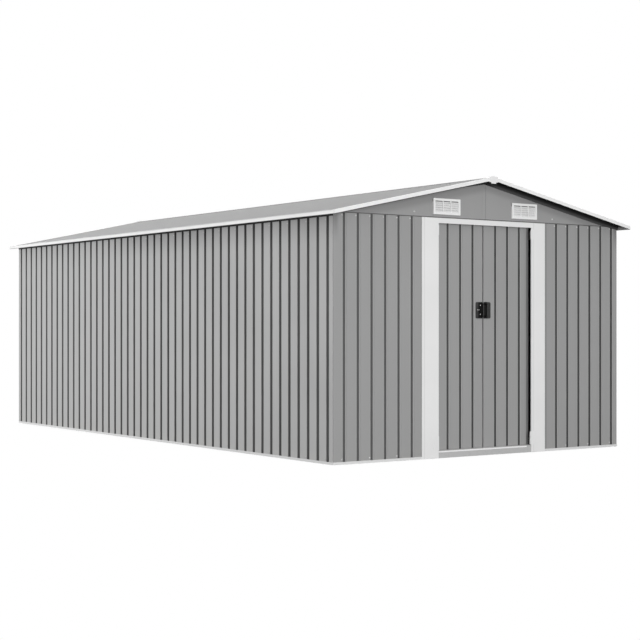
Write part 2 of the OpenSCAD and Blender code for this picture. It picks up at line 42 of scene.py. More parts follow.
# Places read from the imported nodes, in metres, and the pitch of the roof
HALF_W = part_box("right_wall_panel_2")[1].x
HALF_L = -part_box("front_wall_left")[0].y
WALL_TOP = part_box("right_wall_panel_2")[1].z
GABLE_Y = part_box("front_gable_left")[0].y
LEAF_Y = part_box("door_leaf_left")[0].y
JAMB_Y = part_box("door_jamb_right")[0].y
PITCH = math.radians(12)
roof_lo, roof_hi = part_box("roof_right")
RIDGE_Z = roof_hi.z + roof_lo.x * math.tan(PITCH)

# Ribs of the sheets: their spacing, the distances of the first ones from the corners, and their counts
RIB_PITCH = 0.105
SIDE_FIRST = 0.058
BACK_FIRST = 0.062
FRONT_FIRST_LEFT = 0.087
FRONT_FIRST_RIGHT = 0.054
SIDE_COUNT = 45
BACK_COUNT = 23
FRONT_COUNT = 6

# Painted shade in the ribs, in shares of the paint: at the left end, at the right end and on the long sides
RIB_SHADE_SHARES = (0.19, 0.08, 0.085)
# Distances from the middle between which a long side takes over from an end wall
NEAR_SIDE = (HALF_W - 0.05, HALF_W - 0.02)
# Depths below the sheet face between which the painted shade in the ribs comes in, and between which the
# flanks turn pale with painted light
SIDE_RIB_SHADE = (0.0003, 0.0019)
END_RIB_SHADE = (0.0078, 0.0106)
FLANK_LIGHT = (0.0008, 0.0030)
# Depths between which a rib of a long side begins
RIB_DEEP = (0.0006, 0.0030)
# Depth within which a point belongs to a long side, and the strip left out beside a corner
SIDE_SKIN = 0.03
CORNER = 0.02
# How much higher the painted shade climbs in the ribs at the right end, and the x at which it starts to
RIB_SHADE_CLIMB = 0.0032
CLIMB_X = -0.3
# Depths below the wall top between which the sheet and the ribs darken towards the eave
EAVE_SHADE = (0.20, 0.02)
RIB_SHADE = (0.24, 0.03)
# Places along the shed between which the shade under the eaves grows weaker
EAVE_FADE = (-0.1, 0.9)
# Distances past the right jamb, below the roof slope and from the gable seam between which the shade comes in
JAMB_SHADE = (0.026, 0.014)
VERGE_SHADE = (0.105, 0.06)
SEAM_SHADE = (0.004, 0.001)
# Places across the right leaf between which the step at its right edge begins
LEAF_STEP = (0.384, 0.380)


# Node-tree helpers
class Tree:
    def __init__(self, name):
        self.mat = bpy.data.materials.new(name)
        self.mat.use_nodes = True
        self.t = self.mat.node_tree
        self.bsdf = self.t.nodes["Principled BSDF"]

    def node(self, kind, **props):
        n = self.t.nodes.new(kind)
        for k, v in props.items():
            setattr(n, k, v)
        return n

    def put(self, socket, value):
        if hasattr(value, "is_output"):
            self.t.links.new(value, socket)
        else:
            socket.default_value = value

    def math(self, op, a, b=0.0, c=0.0, clamp=False):
        n = self.node("ShaderNodeMath", operation=op, use_clamp=clamp)
        self.put(n.inputs[0], a)
        self.put(n.inputs[1], b)
        self.put(n.inputs[2], c)
        return n.outputs[0]

    def times(self, a, b):
        return self.math("MULTIPLY", a, b)

    def minus(self, a, b):
        return self.math("SUBTRACT", a, b)

    def absolute(self, a):
        return self.math("ABSOLUTE", a)

    def ramp(self, x, lo, hi, a=0.0, b=1.0, smooth=True):
        kind = "SMOOTHSTEP" if smooth else "LINEAR"
        n = self.node("ShaderNodeMapRange", interpolation_type=kind)
        self.put(n.inputs["Value"], x)
        self.put(n.inputs["From Min"], lo)
        self.put(n.inputs["From Max"], hi)
        self.put(n.inputs["To Min"], a)
        self.put(n.inputs["To Max"], b)
        return n.outputs["Result"]

    def mix(self, fac, a, b):
        n = self.node("ShaderNodeMix", data_type="RGBA")
        self.put(n.inputs["Factor"], fac)
        self.put(n.inputs["A"], a)
        self.put(n.inputs["B"], b)
        return n.outputs["Result"]

    def coords(self, scale=(1, 1, 1)):
        tc = self.node("ShaderNodeTexCoord")
        m = self.node("ShaderNodeMapping")
        m.inputs["Scale"].default_value = scale
        self.t.links.new(tc.outputs["Object"], m.inputs["Vector"])
        return m.outputs["Vector"]

    def xyz(self):
        tc = self.node("ShaderNodeTexCoord")
        s = self.node("ShaderNodeSeparateXYZ")
        self.t.links.new(tc.outputs["Object"], s.inputs[0])
        return s.outputs

    def normal(self):
        g = self.node("ShaderNodeNewGeometry")
        s = self.node("ShaderNodeSeparateXYZ")
        self.t.links.new(g.outputs["True Normal"], s.inputs[0])
        return s.outputs

    def noise(self, scale, detail, stretch=(1, 1, 1)):
        n = self.node("ShaderNodeTexNoise")
        self.put(n.inputs["Vector"], self.coords(stretch))
        n.inputs["Scale"].default_value = scale
        n.inputs["Detail"].default_value = detail
        return n.outputs["Fac"]

    def bump(self, height, strength, distance):
        n = self.node("ShaderNodeBump")
        n.inputs["Strength"].default_value = strength
        n.inputs["Distance"].default_value = distance
        self.put(n.inputs["Height"], height)
        self.put(self.bsdf.inputs["Normal"], n.outputs["Normal"])


def grey(v):
    return (v, v, v, 1)


# Depths below the faces of the long sides and of the end walls
def wall_depths(t):
    x, y, _ = t.xyz()
    return t.minus(HALF_W, t.absolute(x)), t.minus(HALF_L, t.absolute(y))


# How far a point lies straight below the slope of the roof
def below_slope(t):
    x, _, z = t.xyz()
    return t.minus(t.math("MULTIPLY_ADD", t.absolute(x), -math.tan(PITCH), RIDGE_Z), z)


# Painted sheet: cloudy, streaky and speckled, with shallow dents, dust low down and painted shade in the ribs
def sheet_material(name, rib_shade_of=None, base=0.340, rib_shade_shares=RIB_SHADE_SHARES, rough=0.5, gloss=0.35, under=None,
                   shade_of=None, rib_top_shade_of=None, flank_light_of=None):
    t = Tree(name)
    cloud = t.ramp(t.noise(1.6, 4), 0.3, 0.7)
    streak = t.ramp(t.noise(9.0, 3, (1, 1, 0.12)), 0.35, 0.7)
    tone = t.mix(cloud, grey(base * 0.97), grey(base * 1.02))
    tone = t.mix(t.times(streak, 0.4), tone, grey(base * 0.94))
    speck = t.ramp(t.noise(110, 3), 0.4, 0.65)
    tone = t.mix(t.times(speck, 0.5), tone, grey(base * 0.96))
    dust = t.times(t.ramp(t.xyz()[2], 0.12, 0.0), t.ramp(t.noise(30, 4), 0.35, 0.75))
    tone = t.mix(t.times(dust, 0.3), tone, (base * 1.15, base * 1.1, base * 1.02, 1))
    if shade_of:
        tone = t.mix(shade_of(t), tone, grey(base * 0.5))
    # Painted light on the flanks of the ribs
    if flank_light_of:
        tone = t.mix(flank_light_of(t), tone, grey(base * 1.25))
    # Painted shade in the ribs
    if rib_shade_of:
        left, right, side = (grey(base * share) for share in rib_shade_shares)
        x = t.xyz()[0]
        dark = t.mix(t.ramp(x, -HALF_W, HALF_W, smooth=False), left, right)
        dark = t.mix(t.ramp(t.absolute(x), *NEAR_SIDE), dark, side)
        tone = t.mix(rib_shade_of(t), tone, dark)
    # Painted shade near the tops of the ribs
    if rib_top_shade_of:
        tone = t.mix(rib_top_shade_of(t), tone, grey(base * 0.01))
    # Painted shade on the undersides
    if under:
        tone = t.mix(t.ramp(t.normal()[2], 0.0, -0.3), tone, grey(under))
    t.put(t.bsdf.inputs["Base Color"], tone)
    t.put(t.bsdf.inputs["Roughness"], t.ramp(cloud, 0, 1, rough, rough + 0.1))
    t.bsdf.inputs["Specular IOR Level"].default_value = gloss
    dents = t.times(t.noise(5.0, 2, (1, 1, 0.4)), 6.0)
    t.bump(t.math("ADD", dents, t.noise(260, 2)), 0.1, 0.0005)
    return t.mat


# The painted shade climbs higher up the ribs towards the right end
def end_depth(t, depth):
    return t.math("ADD", depth, t.ramp(t.xyz()[0], CLIMB_X, HALF_W, 0.0, RIB_SHADE_CLIMB, smooth=False))


# Painted shade lies in the ribs, on the outside of the sheets only
def wall_rib_shade(t):
    x, y, _ = t.xyz()
    nx, ny, _ = t.normal()
    dx, dy = wall_depths(t)
    out_x = t.ramp(t.times(nx, t.math("SIGN", x)), 0.0, 0.1)
    out_y = t.ramp(t.times(ny, t.math("SIGN", y)), 0.0, 0.1)
    side = t.times(t.ramp(dx, *SIDE_RIB_SHADE, 0.0, 0.88), out_x)
    end = t.times(t.ramp(end_depth(t, dy), *END_RIB_SHADE, 0.0, 0.95), out_y)
    on_side = t.math("LESS_THAN", dx, dy)
    n = t.node("ShaderNodeMix", data_type="FLOAT")
    t.put(n.inputs["Factor"], on_side)
    t.put(n.inputs["A"], end)
    t.put(n.inputs["B"], side)
    return n.outputs["Result"]


# Sheltered strips of the walls stay darker: under the eaves, less so at the back, and beside the right jamb
def wall_shade(t):
    x, y, z = t.xyz()
    on_side = t.ramp(t.absolute(x), *NEAR_SIDE)
    under_eave = t.times(t.ramp(t.minus(WALL_TOP, z), *EAVE_SHADE, 0.0, 0.6), on_side)
    under_eave = t.times(under_eave, t.ramp(y, *EAVE_FADE, 1.0, 0.25))
    past = t.minus(x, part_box("door_jamb_right")[1].x)
    beside = t.times(t.ramp(past, *JAMB_SHADE, 0.0, 0.45), t.math("LESS_THAN", y, 0.0))
    beside = t.times(beside, t.math("GREATER_THAN", past, -0.01))
    return t.math("MAXIMUM", under_eave, beside)


# Painted light: the flanks of the ribs are paler on the front and back walls and on the leaves
def wall_flank_light(t):
    dx, dy = wall_depths(t)
    return t.times(t.ramp(dy, *FLANK_LIGHT), t.math("GREATER_THAN", dx, dy))


def leaf_flank_light(t):
    return t.ramp(t.minus(t.xyz()[1], LEAF_Y), *FLANK_LIGHT)


# Painted shade: the ribs of the long sides go black towards the eaves
def rib_top_shade(t):
    dx, dy = wall_depths(t)
    in_rib = t.times(t.ramp(dx, *RIB_DEEP), t.math("LESS_THAN", dx, SIDE_SKIN))
    in_rib = t.times(in_rib, t.math("GREATER_THAN", dy, CORNER))
    return t.times(in_rib, t.ramp(t.minus(WALL_TOP, t.xyz()[2]), *RIB_SHADE, 0.0, 0.9))


# The gables are darker under the verges and along their seam
def verge_shade(t):
    seam = t.ramp(t.absolute(t.xyz()[0]), *SEAM_SHADE, 0.0, 0.38)
    return t.math("ADD", t.ramp(below_slope(t), *VERGE_SHADE, 0.0, 0.37), seam, clamp=True)


# Painted shade in the ribs of the leaves, weaker on the step at the right edge of the right leaf
def leaf_rib_shade(t):
    depth = t.minus(t.xyz()[1], LEAF_Y)
    facing = t.ramp(t.times(t.normal()[1], -1.0), 0.0, 0.1)
    share = t.ramp(t.xyz()[0], *LEAF_STEP, 0.6, 1.0)
    return t.times(t.times(t.ramp(end_depth(t, depth), *END_RIB_SHADE), facing), share)


# Painted shade in the ribs of the roof, where the depth is square to the slope
def roof_rib_shade(t):
    x, _, z = t.xyz()
    drop = t.times(t.minus(RIDGE_Z, z), math.cos(PITCH))
    depth = t.minus(drop, t.times(t.absolute(x), math.sin(PITCH)))
    return t.ramp(depth, *END_RIB_SHADE)


ROOF_FINISH = {"rough": 0.68, "gloss": 0.05}
wall_mat = sheet_material("wall_sheet", wall_rib_shade, shade_of=wall_shade, rib_top_shade_of=rib_top_shade,
                          flank_light_of=wall_flank_light)
leaf_mat = sheet_material("leaf_sheet", leaf_rib_shade, flank_light_of=leaf_flank_light)
# The roof sheets have painted shade on their undersides
roof_mat = sheet_material("roof_sheet", roof_rib_shade, 0.355, (0.7, 0.7, 0.7), under=0.1, **ROOF_FINISH)
gable_mat = sheet_material("gable_sheet", shade_of=verge_shade)
# The ridge cap is a darker copy of the roof sheet, as painted shade along the ridge
ridge_shaded_mat = sheet_material("ridge_shaded_sheet", base=0.28, **ROOF_FINISH)


# Tones of the painted shade on the hem, of the grey coating and of the painted shade on the drip edge of
# white trims
HEM_GREY = 0.1
COAT_GREY = 0.335
DRIP_GREY = 0.02


# White paint. It may have painted shade in pressed creases at some x, painted shade on a hem from a drop
# below the roof slope on, and grey coating above one height with painted shade on the drip edge below another
def white_material(name, base, rough=0.42, creases=(), coat_z=None, drip_z=None, hem=None):
    t = Tree(name)
    cloud = t.ramp(t.noise(3.0, 4), 0.3, 0.7)
    tone = t.mix(cloud, grey(base * 0.97), grey(base))
    # Painted shade in the creases
    for x in creases:
        away = t.absolute(t.minus(t.xyz()[0], x))
        tone = t.mix(t.ramp(away, 0.006, 0.002, 0.0, 0.6), tone, grey(base * 0.84))
    # Painted shade on the hem
    if hem:
        tone = t.mix(t.ramp(below_slope(t), hem - 0.0003, hem + 0.0003), tone, grey(HEM_GREY))
    if coat_z:
        z = t.xyz()[2]
        tone = t.mix(t.ramp(z, coat_z - 0.001, coat_z), tone, grey(COAT_GREY))
        # Painted shade on the drip edge
        tone = t.mix(t.ramp(z, drip_z + 0.0005, drip_z - 0.0005), tone, grey(DRIP_GREY))
    t.put(t.bsdf.inputs["Base Color"], tone)
    t.put(t.bsdf.inputs["Roughness"], t.ramp(cloud, 0, 1, rough, rough + 0.08))
    t.bump(t.noise(300, 2), 0.06, 0.0003)
    return t.mat


# Height of the roof slope
def slope_z(x):
    return RIDGE_Z - abs(x) * math.tan(PITCH)


# Both jambs have painted shade in a pressed crease near their left edge
CREASE_IN = 0.021
JAMB_CREASES = [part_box(n)[0].x + CREASE_IN for n in ("door_jamb_left", "door_jamb_right")]
# The folded hem along the foot of the verge trims lies in shade
HEM_H = 0.0018
VERGE_DROP = max(slope_z(v.co.x) - v.co.z for v in NODES["front_verge_trims"].data.vertices)
# The grey roof coating runs over the top edge of the eave trims, and their drip edge has painted shade
COAT_H = 0.0075
DRIP_H = 0.0026
EAVE_FOOT, EAVE_TOP = (c.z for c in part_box("eave_trim_left"))
# Lit and shaded copies of the white paint: lighter on the verges as painted light, darker on the eave trims
# and on the rails as painted shade
trim_mat = white_material("trim_paint", 0.84)
verge_lit_mat = white_material("verge_lit_paint", 0.9, hem=VERGE_DROP - HEM_H)
jamb_mat = white_material("jamb_paint", 0.85, creases=JAMB_CREASES)
eave_shaded_mat = white_material("eave_shaded_paint", 0.66, coat_z=EAVE_TOP - COAT_H, drip_z=EAVE_FOOT + DRIP_H)
side_rail_shaded_mat = white_material("side_rail_shaded_paint", 0.54)
end_rail_mat = white_material("end_rail_paint", 0.76)
bead_mat = white_material("bead_paint", 0.9)
cap_mat = white_material("cap_plastic", 0.86, 0.5)


# Louvred vents: frame and bars in plain white, louvres darker with painted shade where recessed, and painted
# shade in the slot over the top one
def vent_material():
    t = Tree("vent_plastic")
    _, y, z = t.xyz()
    lo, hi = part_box("vent_left")
    depth = t.minus(y, lo.y)
    recess_shade = t.ramp(depth, 0.0003, 0.0015)
    slot_shade = t.times(t.ramp(z, hi.z - 0.023, hi.z - 0.021), t.ramp(depth, 0.0045, 0.0055))
    cloud = t.ramp(t.noise(8.0, 4), 0.3, 0.7)
    tone = t.mix(cloud, grey(0.88), grey(0.91))
    tone = t.mix(recess_shade, tone, t.mix(cloud, grey(0.83), grey(0.87)))
    tone = t.mix(slot_shade, tone, grey(0.2))
    t.put(t.bsdf.inputs["Base Color"], tone)
    t.put(t.bsdf.inputs["Roughness"], t.ramp(cloud, 0, 1, 0.5, 0.58))
    t.bump(t.noise(300, 2), 0.06, 0.0003)
    return t.mat


vent_mat = vent_material()


# Spangled zinc, darker above a height where one is given
def zinc_material(name, base, darker_above_z=None):
    t = Tree(name)
    v = t.node("ShaderNodeTexVoronoi")
    t.put(v.inputs["Vector"], t.coords())
    v.inputs["Scale"].default_value = 60
    spangle = t.ramp(v.outputs["Distance"], 0.0, 0.6)
    tone = t.mix(spangle, grey(base * 0.9), grey(base))
    if darker_above_z:
        tone = t.mix(t.ramp(t.xyz()[2], darker_above_z - 0.001, darker_above_z), tone, grey(base * 0.84))
    t.put(t.bsdf.inputs["Base Color"], tone)
    t.put(t.bsdf.inputs["Roughness"], t.ramp(spangle, 0, 1, 0.45, 0.6))
    t.bsdf.inputs["Metallic"].default_value = 0.35
    return t.mat


# Distances from the middle between which the painted light on the outer part of a handle plate begins
HANDLE_OUTER = (0.034, 0.042)


# Black plastic or foam. Handles have painted light: greyer on the grips and on the outer parts of their
# plates, and foam has painted light towards its foot under the right slope
def black_material(name, base=0.006, gloss=0.3, plate_y=None, foot_light=None):
    t = Tree(name)
    grain = t.noise(500, 2)
    tone = t.mix(grain, grey(base * 0.7), grey(base * 1.3))
    # Painted light towards the foot of the foam
    if foot_light:
        low = t.times(t.ramp(below_slope(t), 0.018, 0.042), t.ramp(t.xyz()[0], 0.02, 0.12))
        tone = t.mix(low, tone, grey(foot_light))
    # Painted light on the handles
    if plate_y:
        x, y, _ = t.xyz()
        painted_light = t.mix(t.ramp(t.noise(40, 3), 0.3, 0.7), grey(0.035), grey(0.05))
        outer = t.ramp(t.absolute(x), *HANDLE_OUTER)
        on_plate = t.ramp(y, plate_y - 0.002, plate_y - 0.0005)
        tone = t.mix(t.times(on_plate, outer), tone, painted_light)
        tone = t.mix(t.ramp(y, plate_y - 0.020, plate_y - 0.0215), tone, painted_light)
    t.put(t.bsdf.inputs["Base Color"], tone)
    t.put(t.bsdf.inputs["Roughness"], t.ramp(grain, 0.3, 0.7, 0.35, 0.5))
    t.bsdf.inputs["Specular IOR Level"].default_value = gloss
    t.bump(grain, 0.1, 0.0003)
    return t.mat


# Spotted paint or steel of the screw heads
def screw_material(name, base, metallic):
    t = Tree(name)
    spot = t.ramp(t.noise(220, 3), 0.35, 0.7)
    t.put(t.bsdf.inputs["Base Color"], t.mix(spot, grey(base * 0.9), grey(base)))
    t.put(t.bsdf.inputs["Roughness"], t.ramp(spot, 0, 1, 0.3, 0.42))
    t.bsdf.inputs["Metallic"].default_value = metallic
    return t.mat


# The sill is darker above its bead, and the handle plates stand proud of the leaves
BEAD_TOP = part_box("door_sill")[1].z - 0.0045
PLATE_Y = LEAF_Y - 0.005
zinc_mat = zinc_material("zinc", 0.56)
sill_mat = zinc_material("sill_zinc", 0.46, BEAD_TOP)
black_mat = black_material("black_plastic")
handle_mat = black_material("handle_plastic", 0.004, 0.12, PLATE_Y)
latch_mat = black_material("latch_plastic", 0.035, 0.2)
foam_shade_mat = black_material("closure_foam_shade", 0.014, foot_light=0.06)
eave_shadow_mat = black_material("eave_foam_shadow", 0.006, 0.1)
seal_shadow_mat = black_material("gable_seal_shadow", 0.07)
screw_mat = screw_material("screw_paint", 0.6, 0.2)
side_screw_mat = screw_material("side_screw_paint", 0.42, 0.1)
roof_screw_mat = screw_material("roof_screw_paint", 0.34, 0.0)
steel_mat = screw_material("screw_steel", 0.9, 0.3)

WALL_NODES = ("left_wall_panel", "right_wall_panel", "front_wall", "back_corner", "back_wall_panel")


def dress(name):
    if name.startswith(WALL_NODES):
        return wall_mat
    if name.startswith("door_leaf"):
        return leaf_mat
    if name.startswith("roof"):
        return roof_mat
    if "gable" in name:
        return gable_mat
    if name == "ridge_cap":
        return ridge_shaded_mat
    if name in ("base_rail_left", "base_rail_right"):
        return side_rail_shaded_mat
    if name.startswith("base_rail"):
        return end_rail_mat
    if name.startswith("vent"):
        return vent_mat
    if name.startswith("ridge_end"):
        return cap_mat
    if name.startswith("door_handle"):
        return handle_mat
    if name.startswith("door_hangers"):
        return black_mat
    if name.startswith("eave_trim"):
        return eave_shaded_mat
    if name.startswith("door_jamb"):
        return jamb_mat
    if name.endswith("verge_trims"):
        return verge_lit_mat
    if name == "door_header":
        return trim_mat
    if name == "door_sill":
        return sill_mat
    return zinc_mat


for name, obj in NODES.items():
    obj.data.materials.clear()
    obj.data.materials.append(dress(name))


# Mesh helpers for the small pieces
def piece(name, bm, mat, body="shed", smooth=False):
    mesh = bpy.data.meshes.new(name)
    bmesh.ops.recalc_face_normals(bm, faces=bm.faces)
    bm.to_mesh(mesh)
    bm.free()
    for p in mesh.polygons:
        p.use_smooth = smooth
    mesh.materials.append(mat)
    o = bpy.data.objects.new(name, mesh)
    scene.collection.objects.link(o)
    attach(o, body)


# A turned shape from a profile of radius and height along an axis
def lathe(bm, place, axis, profile, steps=12):
    turn = Vector((0, 0, 1)).rotation_difference(Vector(axis)).to_matrix().to_4x4()
    m = Matrix.Translation(place) @ turn
    rings = []
    for r, h in profile:
        if r == 0:
            rings.append([bm.verts.new(m @ Vector((0, 0, h)))])
        else:
            rings.append([
                bm.verts.new(m @ Vector((r * math.cos(a), r * math.sin(a), h)))
                for a in (2 * math.pi * k / steps for k in range(steps))
            ])
    for a, b in zip(rings, rings[1:]):
        for k in range(steps):
            n = (k + 1) % steps
            loop = [a[k], a[n]] if len(a) > 1 else [a[0]]
            loop += [b[n], b[k]] if len(b) > 1 else [b[0]]
            bm.faces.new(loop)
    if len(rings[0]) > 1:
        bm.faces.new(rings[0])


# Pan-head screws on a washer, from a profile in shares of the head's radius
WASHER = [(1.5, -0.1), (1.5, 0.18), (1.35, 0.28), (1.0, 0.3)]
HEAD = [(0.98, 0.55), (0.8, 0.85), (0.45, 1.02), (0, 1.06)]


def screws(name, places, mat, body="shed", r=0.0035):
    bm = bmesh.new()
    for place, axis in places:
        lathe(bm, Vector(place), axis, [(a * r, b * r) for a, b in WASHER + HEAD])
    piece(name, bm, mat, body, smooth=True)


SIDE_RIBS = [SIDE_FIRST - HALF_L + i * RIB_PITCH for i in range(SIDE_COUNT)]
BACK_RIBS = [BACK_FIRST - HALF_W + i * RIB_PITCH for i in range(BACK_COUNT)]
FRONT_RIBS = [FRONT_FIRST_LEFT - HALF_W + i * RIB_PITCH for i in range(FRONT_COUNT)]
FRONT_RIBS += [HALF_W - FRONT_FIRST_RIGHT - i * RIB_PITCH for i in range(FRONT_COUNT)]

# Sheet screws stand beside the ribs, under the gable or eave and above the base rail
BESIDE = 0.021
FRONT_SCREW_TOP = WALL_TOP - 0.017
BACK_SCREW_TOP = WALL_TOP - 0.025
SIDE_SCREW_TOP = WALL_TOP - 0.045
SCREW_FOOT = 0.030
places = []
for i, x in enumerate(FRONT_RIBS):
    places.append(((x - BESIDE, -HALF_L, FRONT_SCREW_TOP), (0, -1, 0)))
    if i % 2 == 0:
        places.append(((x - BESIDE, -HALF_L, SCREW_FOOT), (0, -1, 0)))
for x in BACK_RIBS[::2]:
    for z in (BACK_SCREW_TOP, SCREW_FOOT):
        places.append(((x + BESIDE, HALF_L, z), (0, 1, 0)))
screws("sheet_screws", places, screw_mat)
places = []
for y in SIDE_RIBS[::2]:
    for side in (-1, 1):
        for z in (SIDE_SCREW_TOP, SCREW_FOOT):
            places.append(((side * HALF_W, y + BESIDE, z), (side, 0, 0)))
screws("side_screws", places, side_screw_mat)

# One screw near the middle of each half gable
GABLE_SCREW_X = 0.593
GABLE_SCREW_Z = 1.562
places = []
for side in (-1, 1):
    for end in (-1, 1):
        places.append(((side * GABLE_SCREW_X, end * -GABLE_Y, GABLE_SCREW_Z), (0, end, 0)))
screws("gable_screws", places, screw_mat, r=0.004)

# Roof screws over the purlins and along the eaves, in rows at these distances down the slope
ROOF_ROWS = (0.435, 0.845, 1.225)
places = []
for along in ROOF_ROWS:
    x, z = along * math.cos(PITCH), RIDGE_Z - along * math.sin(PITCH)
    for y in SIDE_RIBS[:-1:2]:
        for side in (-1, 1):
            up = (side * math.sin(PITCH), 0, math.cos(PITCH))
            places.append(((side * x, y + RIB_PITCH / 2, z), up))
screws("roof_screws", places, roof_screw_mat)


# A flat plate from an outline in x and z, with one face at y and the other at y + depth
def plate(bm, outline, y, depth):
    front = [bm.verts.new((x, y, z)) for x, z in outline]
    back = [bm.verts.new((x, y + depth, z)) for x, z in outline]
    bm.faces.new(front)
    bm.faces.new(back[::-1])
    n = len(outline)
    for k in range(n):
        bm.faces.new((front[k], front[(k + 1) % n], back[(k + 1) % n], back[k]))


# A rectangle in x and z with rounded corners
def rounded(x0, x1, z0, z1, r, steps=4):
    pts = []
    corners = ((x1 - r, z1 - r, 0), (x0 + r, z1 - r, 90), (x0 + r, z0 + r, 180), (x1 - r, z0 + r, 270))
    for cx, cz, start in corners:
        for k in range(steps + 1):
            a = math.radians(start + 90 * k / steps)
            pts.append((cx + r * math.cos(a), cz + r * math.sin(a)))
    return pts


# Cover strip on the seam of the front gable
STRIP_W = 0.031
STRIP_T = 0.0006
STRIP_GAP = 0.003
SEAM_GAP = 0.001
GABLE_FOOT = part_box("front_gable_left")[0].z + 0.001
bm = bmesh.new()
plate(bm, [
    (-STRIP_W, GABLE_FOOT),
    (-SEAM_GAP, GABLE_FOOT),
    (-SEAM_GAP, slope_z(SEAM_GAP) - STRIP_GAP),
    (-STRIP_W, slope_z(STRIP_W) - STRIP_GAP),
], GABLE_Y - STRIP_T, STRIP_T)
piece("gable_strip", bm, gable_mat)

# Dark foam that closes the gables under the roof sheets, deepest at the ridge, is also painted shade under
# the verges.
# Each row gives the side, the depths at the ridge, at the bend of the lower edge and at the eave, and how far
# out the bend is
FOAM_D = 0.010
FOAM_GAP = 0.0012
FOAM_IN = 0.002
FOAM_SIDES = ((-1, 0.040, 0.028, 0.028, 0.20), (1, 0.044, 0.044, 0.034, HALF_W - 0.20))
for end, word in ((-1, "front"), (1, "back")):
    bm = bmesh.new()
    for side, tall, middle, low, bend in FOAM_SIDES:
        near, mid, far = (side * x for x in (SEAM_GAP, bend, HALF_W - FOAM_IN))
        corners = ((near, FOAM_GAP), (far, FOAM_GAP), (far, low), (mid, middle), (near, tall))
        outline = [(x, slope_z(x) - drop) for x, drop in corners]
        plate(bm, outline, end * -GABLE_Y, end * FOAM_D)
    piece("closure_foam_shade_" + word, bm, foam_shade_mat)

# The same foam closes the side walls under the eaves, and is also a painted shadow of the eave trims
FOAM_FOOT = 1.5085
FOAM_TOP = WALL_TOP - 0.010
FOAM_PROUD = 0.001
FOAM_END = HALF_L - FOAM_IN
for side, word in ((-1, "left"), (1, "right")):
    bm = bmesh.new()
    face, skin = side * HALF_W, side * (HALF_W + FOAM_PROUD)
    ring = [
        (face, FOAM_FOOT),
        (skin, FOAM_FOOT + FOAM_PROUD),
        (skin, FOAM_TOP - FOAM_PROUD),
        (face, FOAM_TOP),
    ]
    rings = [[bm.verts.new((x, end * FOAM_END, z)) for x, z in ring] for end in (-1, 1)]
    bm.faces.new(rings[0])
    bm.faces.new(rings[1][::-1])
    for k in range(4):
        n = (k + 1) % 4
        bm.faces.new((rings[0][k], rings[0][n], rings[1][n], rings[1][k]))
    piece("eave_foam_shadow_" + word, bm, eave_shadow_mat)

# Dark seal along the foot of the gables, also a painted shadow line under them
SEAL_TOP = GABLE_FOOT + 0.004
SEAL_T = 0.001
SEAL_IN = 0.001
for end, word in ((-1, "front"), (1, "back")):
    bm = bmesh.new()
    for side in (-1, 1):
        a, b = sorted((side * SEAM_GAP, side * (HALF_W - SEAL_IN)))
        outline = [(a, GABLE_FOOT), (b, GABLE_FOOT), (b, SEAL_TOP), (a, SEAL_TOP)]
        plate(bm, outline, end * -GABLE_Y, end * SEAL_T)
    piece("gable_seal_shadow_" + word, bm, seal_shadow_mat)

# Door stops folded round the inner edges of the jambs. Each row gives the foot, the top,
# the reach past the right jamb and the width on the jamb
STOPS = ((0.050, 0.140, 0.010, 0.045), (1.420, 1.483, 0.0045, 0.030))
LEFT_REACH = 0.0015
STOP_T = 0.001
STOP_R = 0.003
STOP_D = 0.006
STOP_GAP = 0.0002
for side, word in ((-1, "left"), (1, "right")):
    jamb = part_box("door_jamb_" + word)
    edge = jamb[1].x if side < 0 else jamb[0].x
    bm = bmesh.new()
    for z0, z1, reach, wide in STOPS:
        tip = edge - side * (reach if side > 0 else LEFT_REACH)
        a, b = sorted((tip, edge + side * wide))
        plate(bm, rounded(a, b, z0, z1, STOP_R), JAMB_Y - STOP_T, STOP_T)
        a, b = sorted((tip, edge - side * STOP_GAP))
        foot, top = z0 + STOP_R, z1 - STOP_R
        plate(bm, [(a, foot), (b, foot), (b, top), (a, top)], JAMB_Y, STOP_D)
    piece("door_stops_" + word, bm, trim_mat)

# Handle fixings: two screws in each plate, a sliding bolt and a latch tongue on the left one
SCREW_IN = 0.0185
HANDLE_SCREWS = (0.918, 0.976)
BOLT_R = 0.0014
BOLT_L = 0.020
BOLT_IN = 0.010
BOLT_Z = 0.946
LATCH_T = 0.003
LATCH_R = 0.003
LATCH_IN = 0.005
LATCH_LAP = 0.001
LATCH_GAP = 0.0005
LATCH_Y = LEAF_Y - 0.0045


def handle_screws(word, x, mat):
    places = [((x, PLATE_Y, z), (0, -1, 0)) for z in HANDLE_SCREWS]
    screws("handle_screws_" + word, places, mat, word + "_door", r=0.0022)


lo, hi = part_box("door_handle_left")
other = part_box("door_handle_right")[0].x
handle_screws("left", hi.x - SCREW_IN, steel_mat)
knob = [(0, 0), (1.4 * BOLT_R, 0), (1.5 * BOLT_R, 0.001), (1.5 * BOLT_R, 0.004), (BOLT_R, 0.005)]
tip = [(BOLT_R, BOLT_L - 0.001), (0.8 * BOLT_R, BOLT_L), (0, BOLT_L)]
bm = bmesh.new()
lathe(bm, Vector((lo.x + BOLT_IN, PLATE_Y - BOLT_R, BOLT_Z)), (1, 0, 0), knob + tip)
piece("handle_bolt", bm, steel_mat, "left_door", smooth=True)
# The tongue bridges the gap to the right plate
bm = bmesh.new()
outline = rounded(hi.x - LATCH_LAP, other - LATCH_GAP, lo.z + LATCH_IN, hi.z - LATCH_IN, LATCH_R)
plate(bm, outline, LATCH_Y, LATCH_T)
piece("handle_latch", bm, latch_mat, "left_door")
# The screws in the right plate take the black plastic, as painted shade
handle_screws("right", other + SCREW_IN, black_mat)

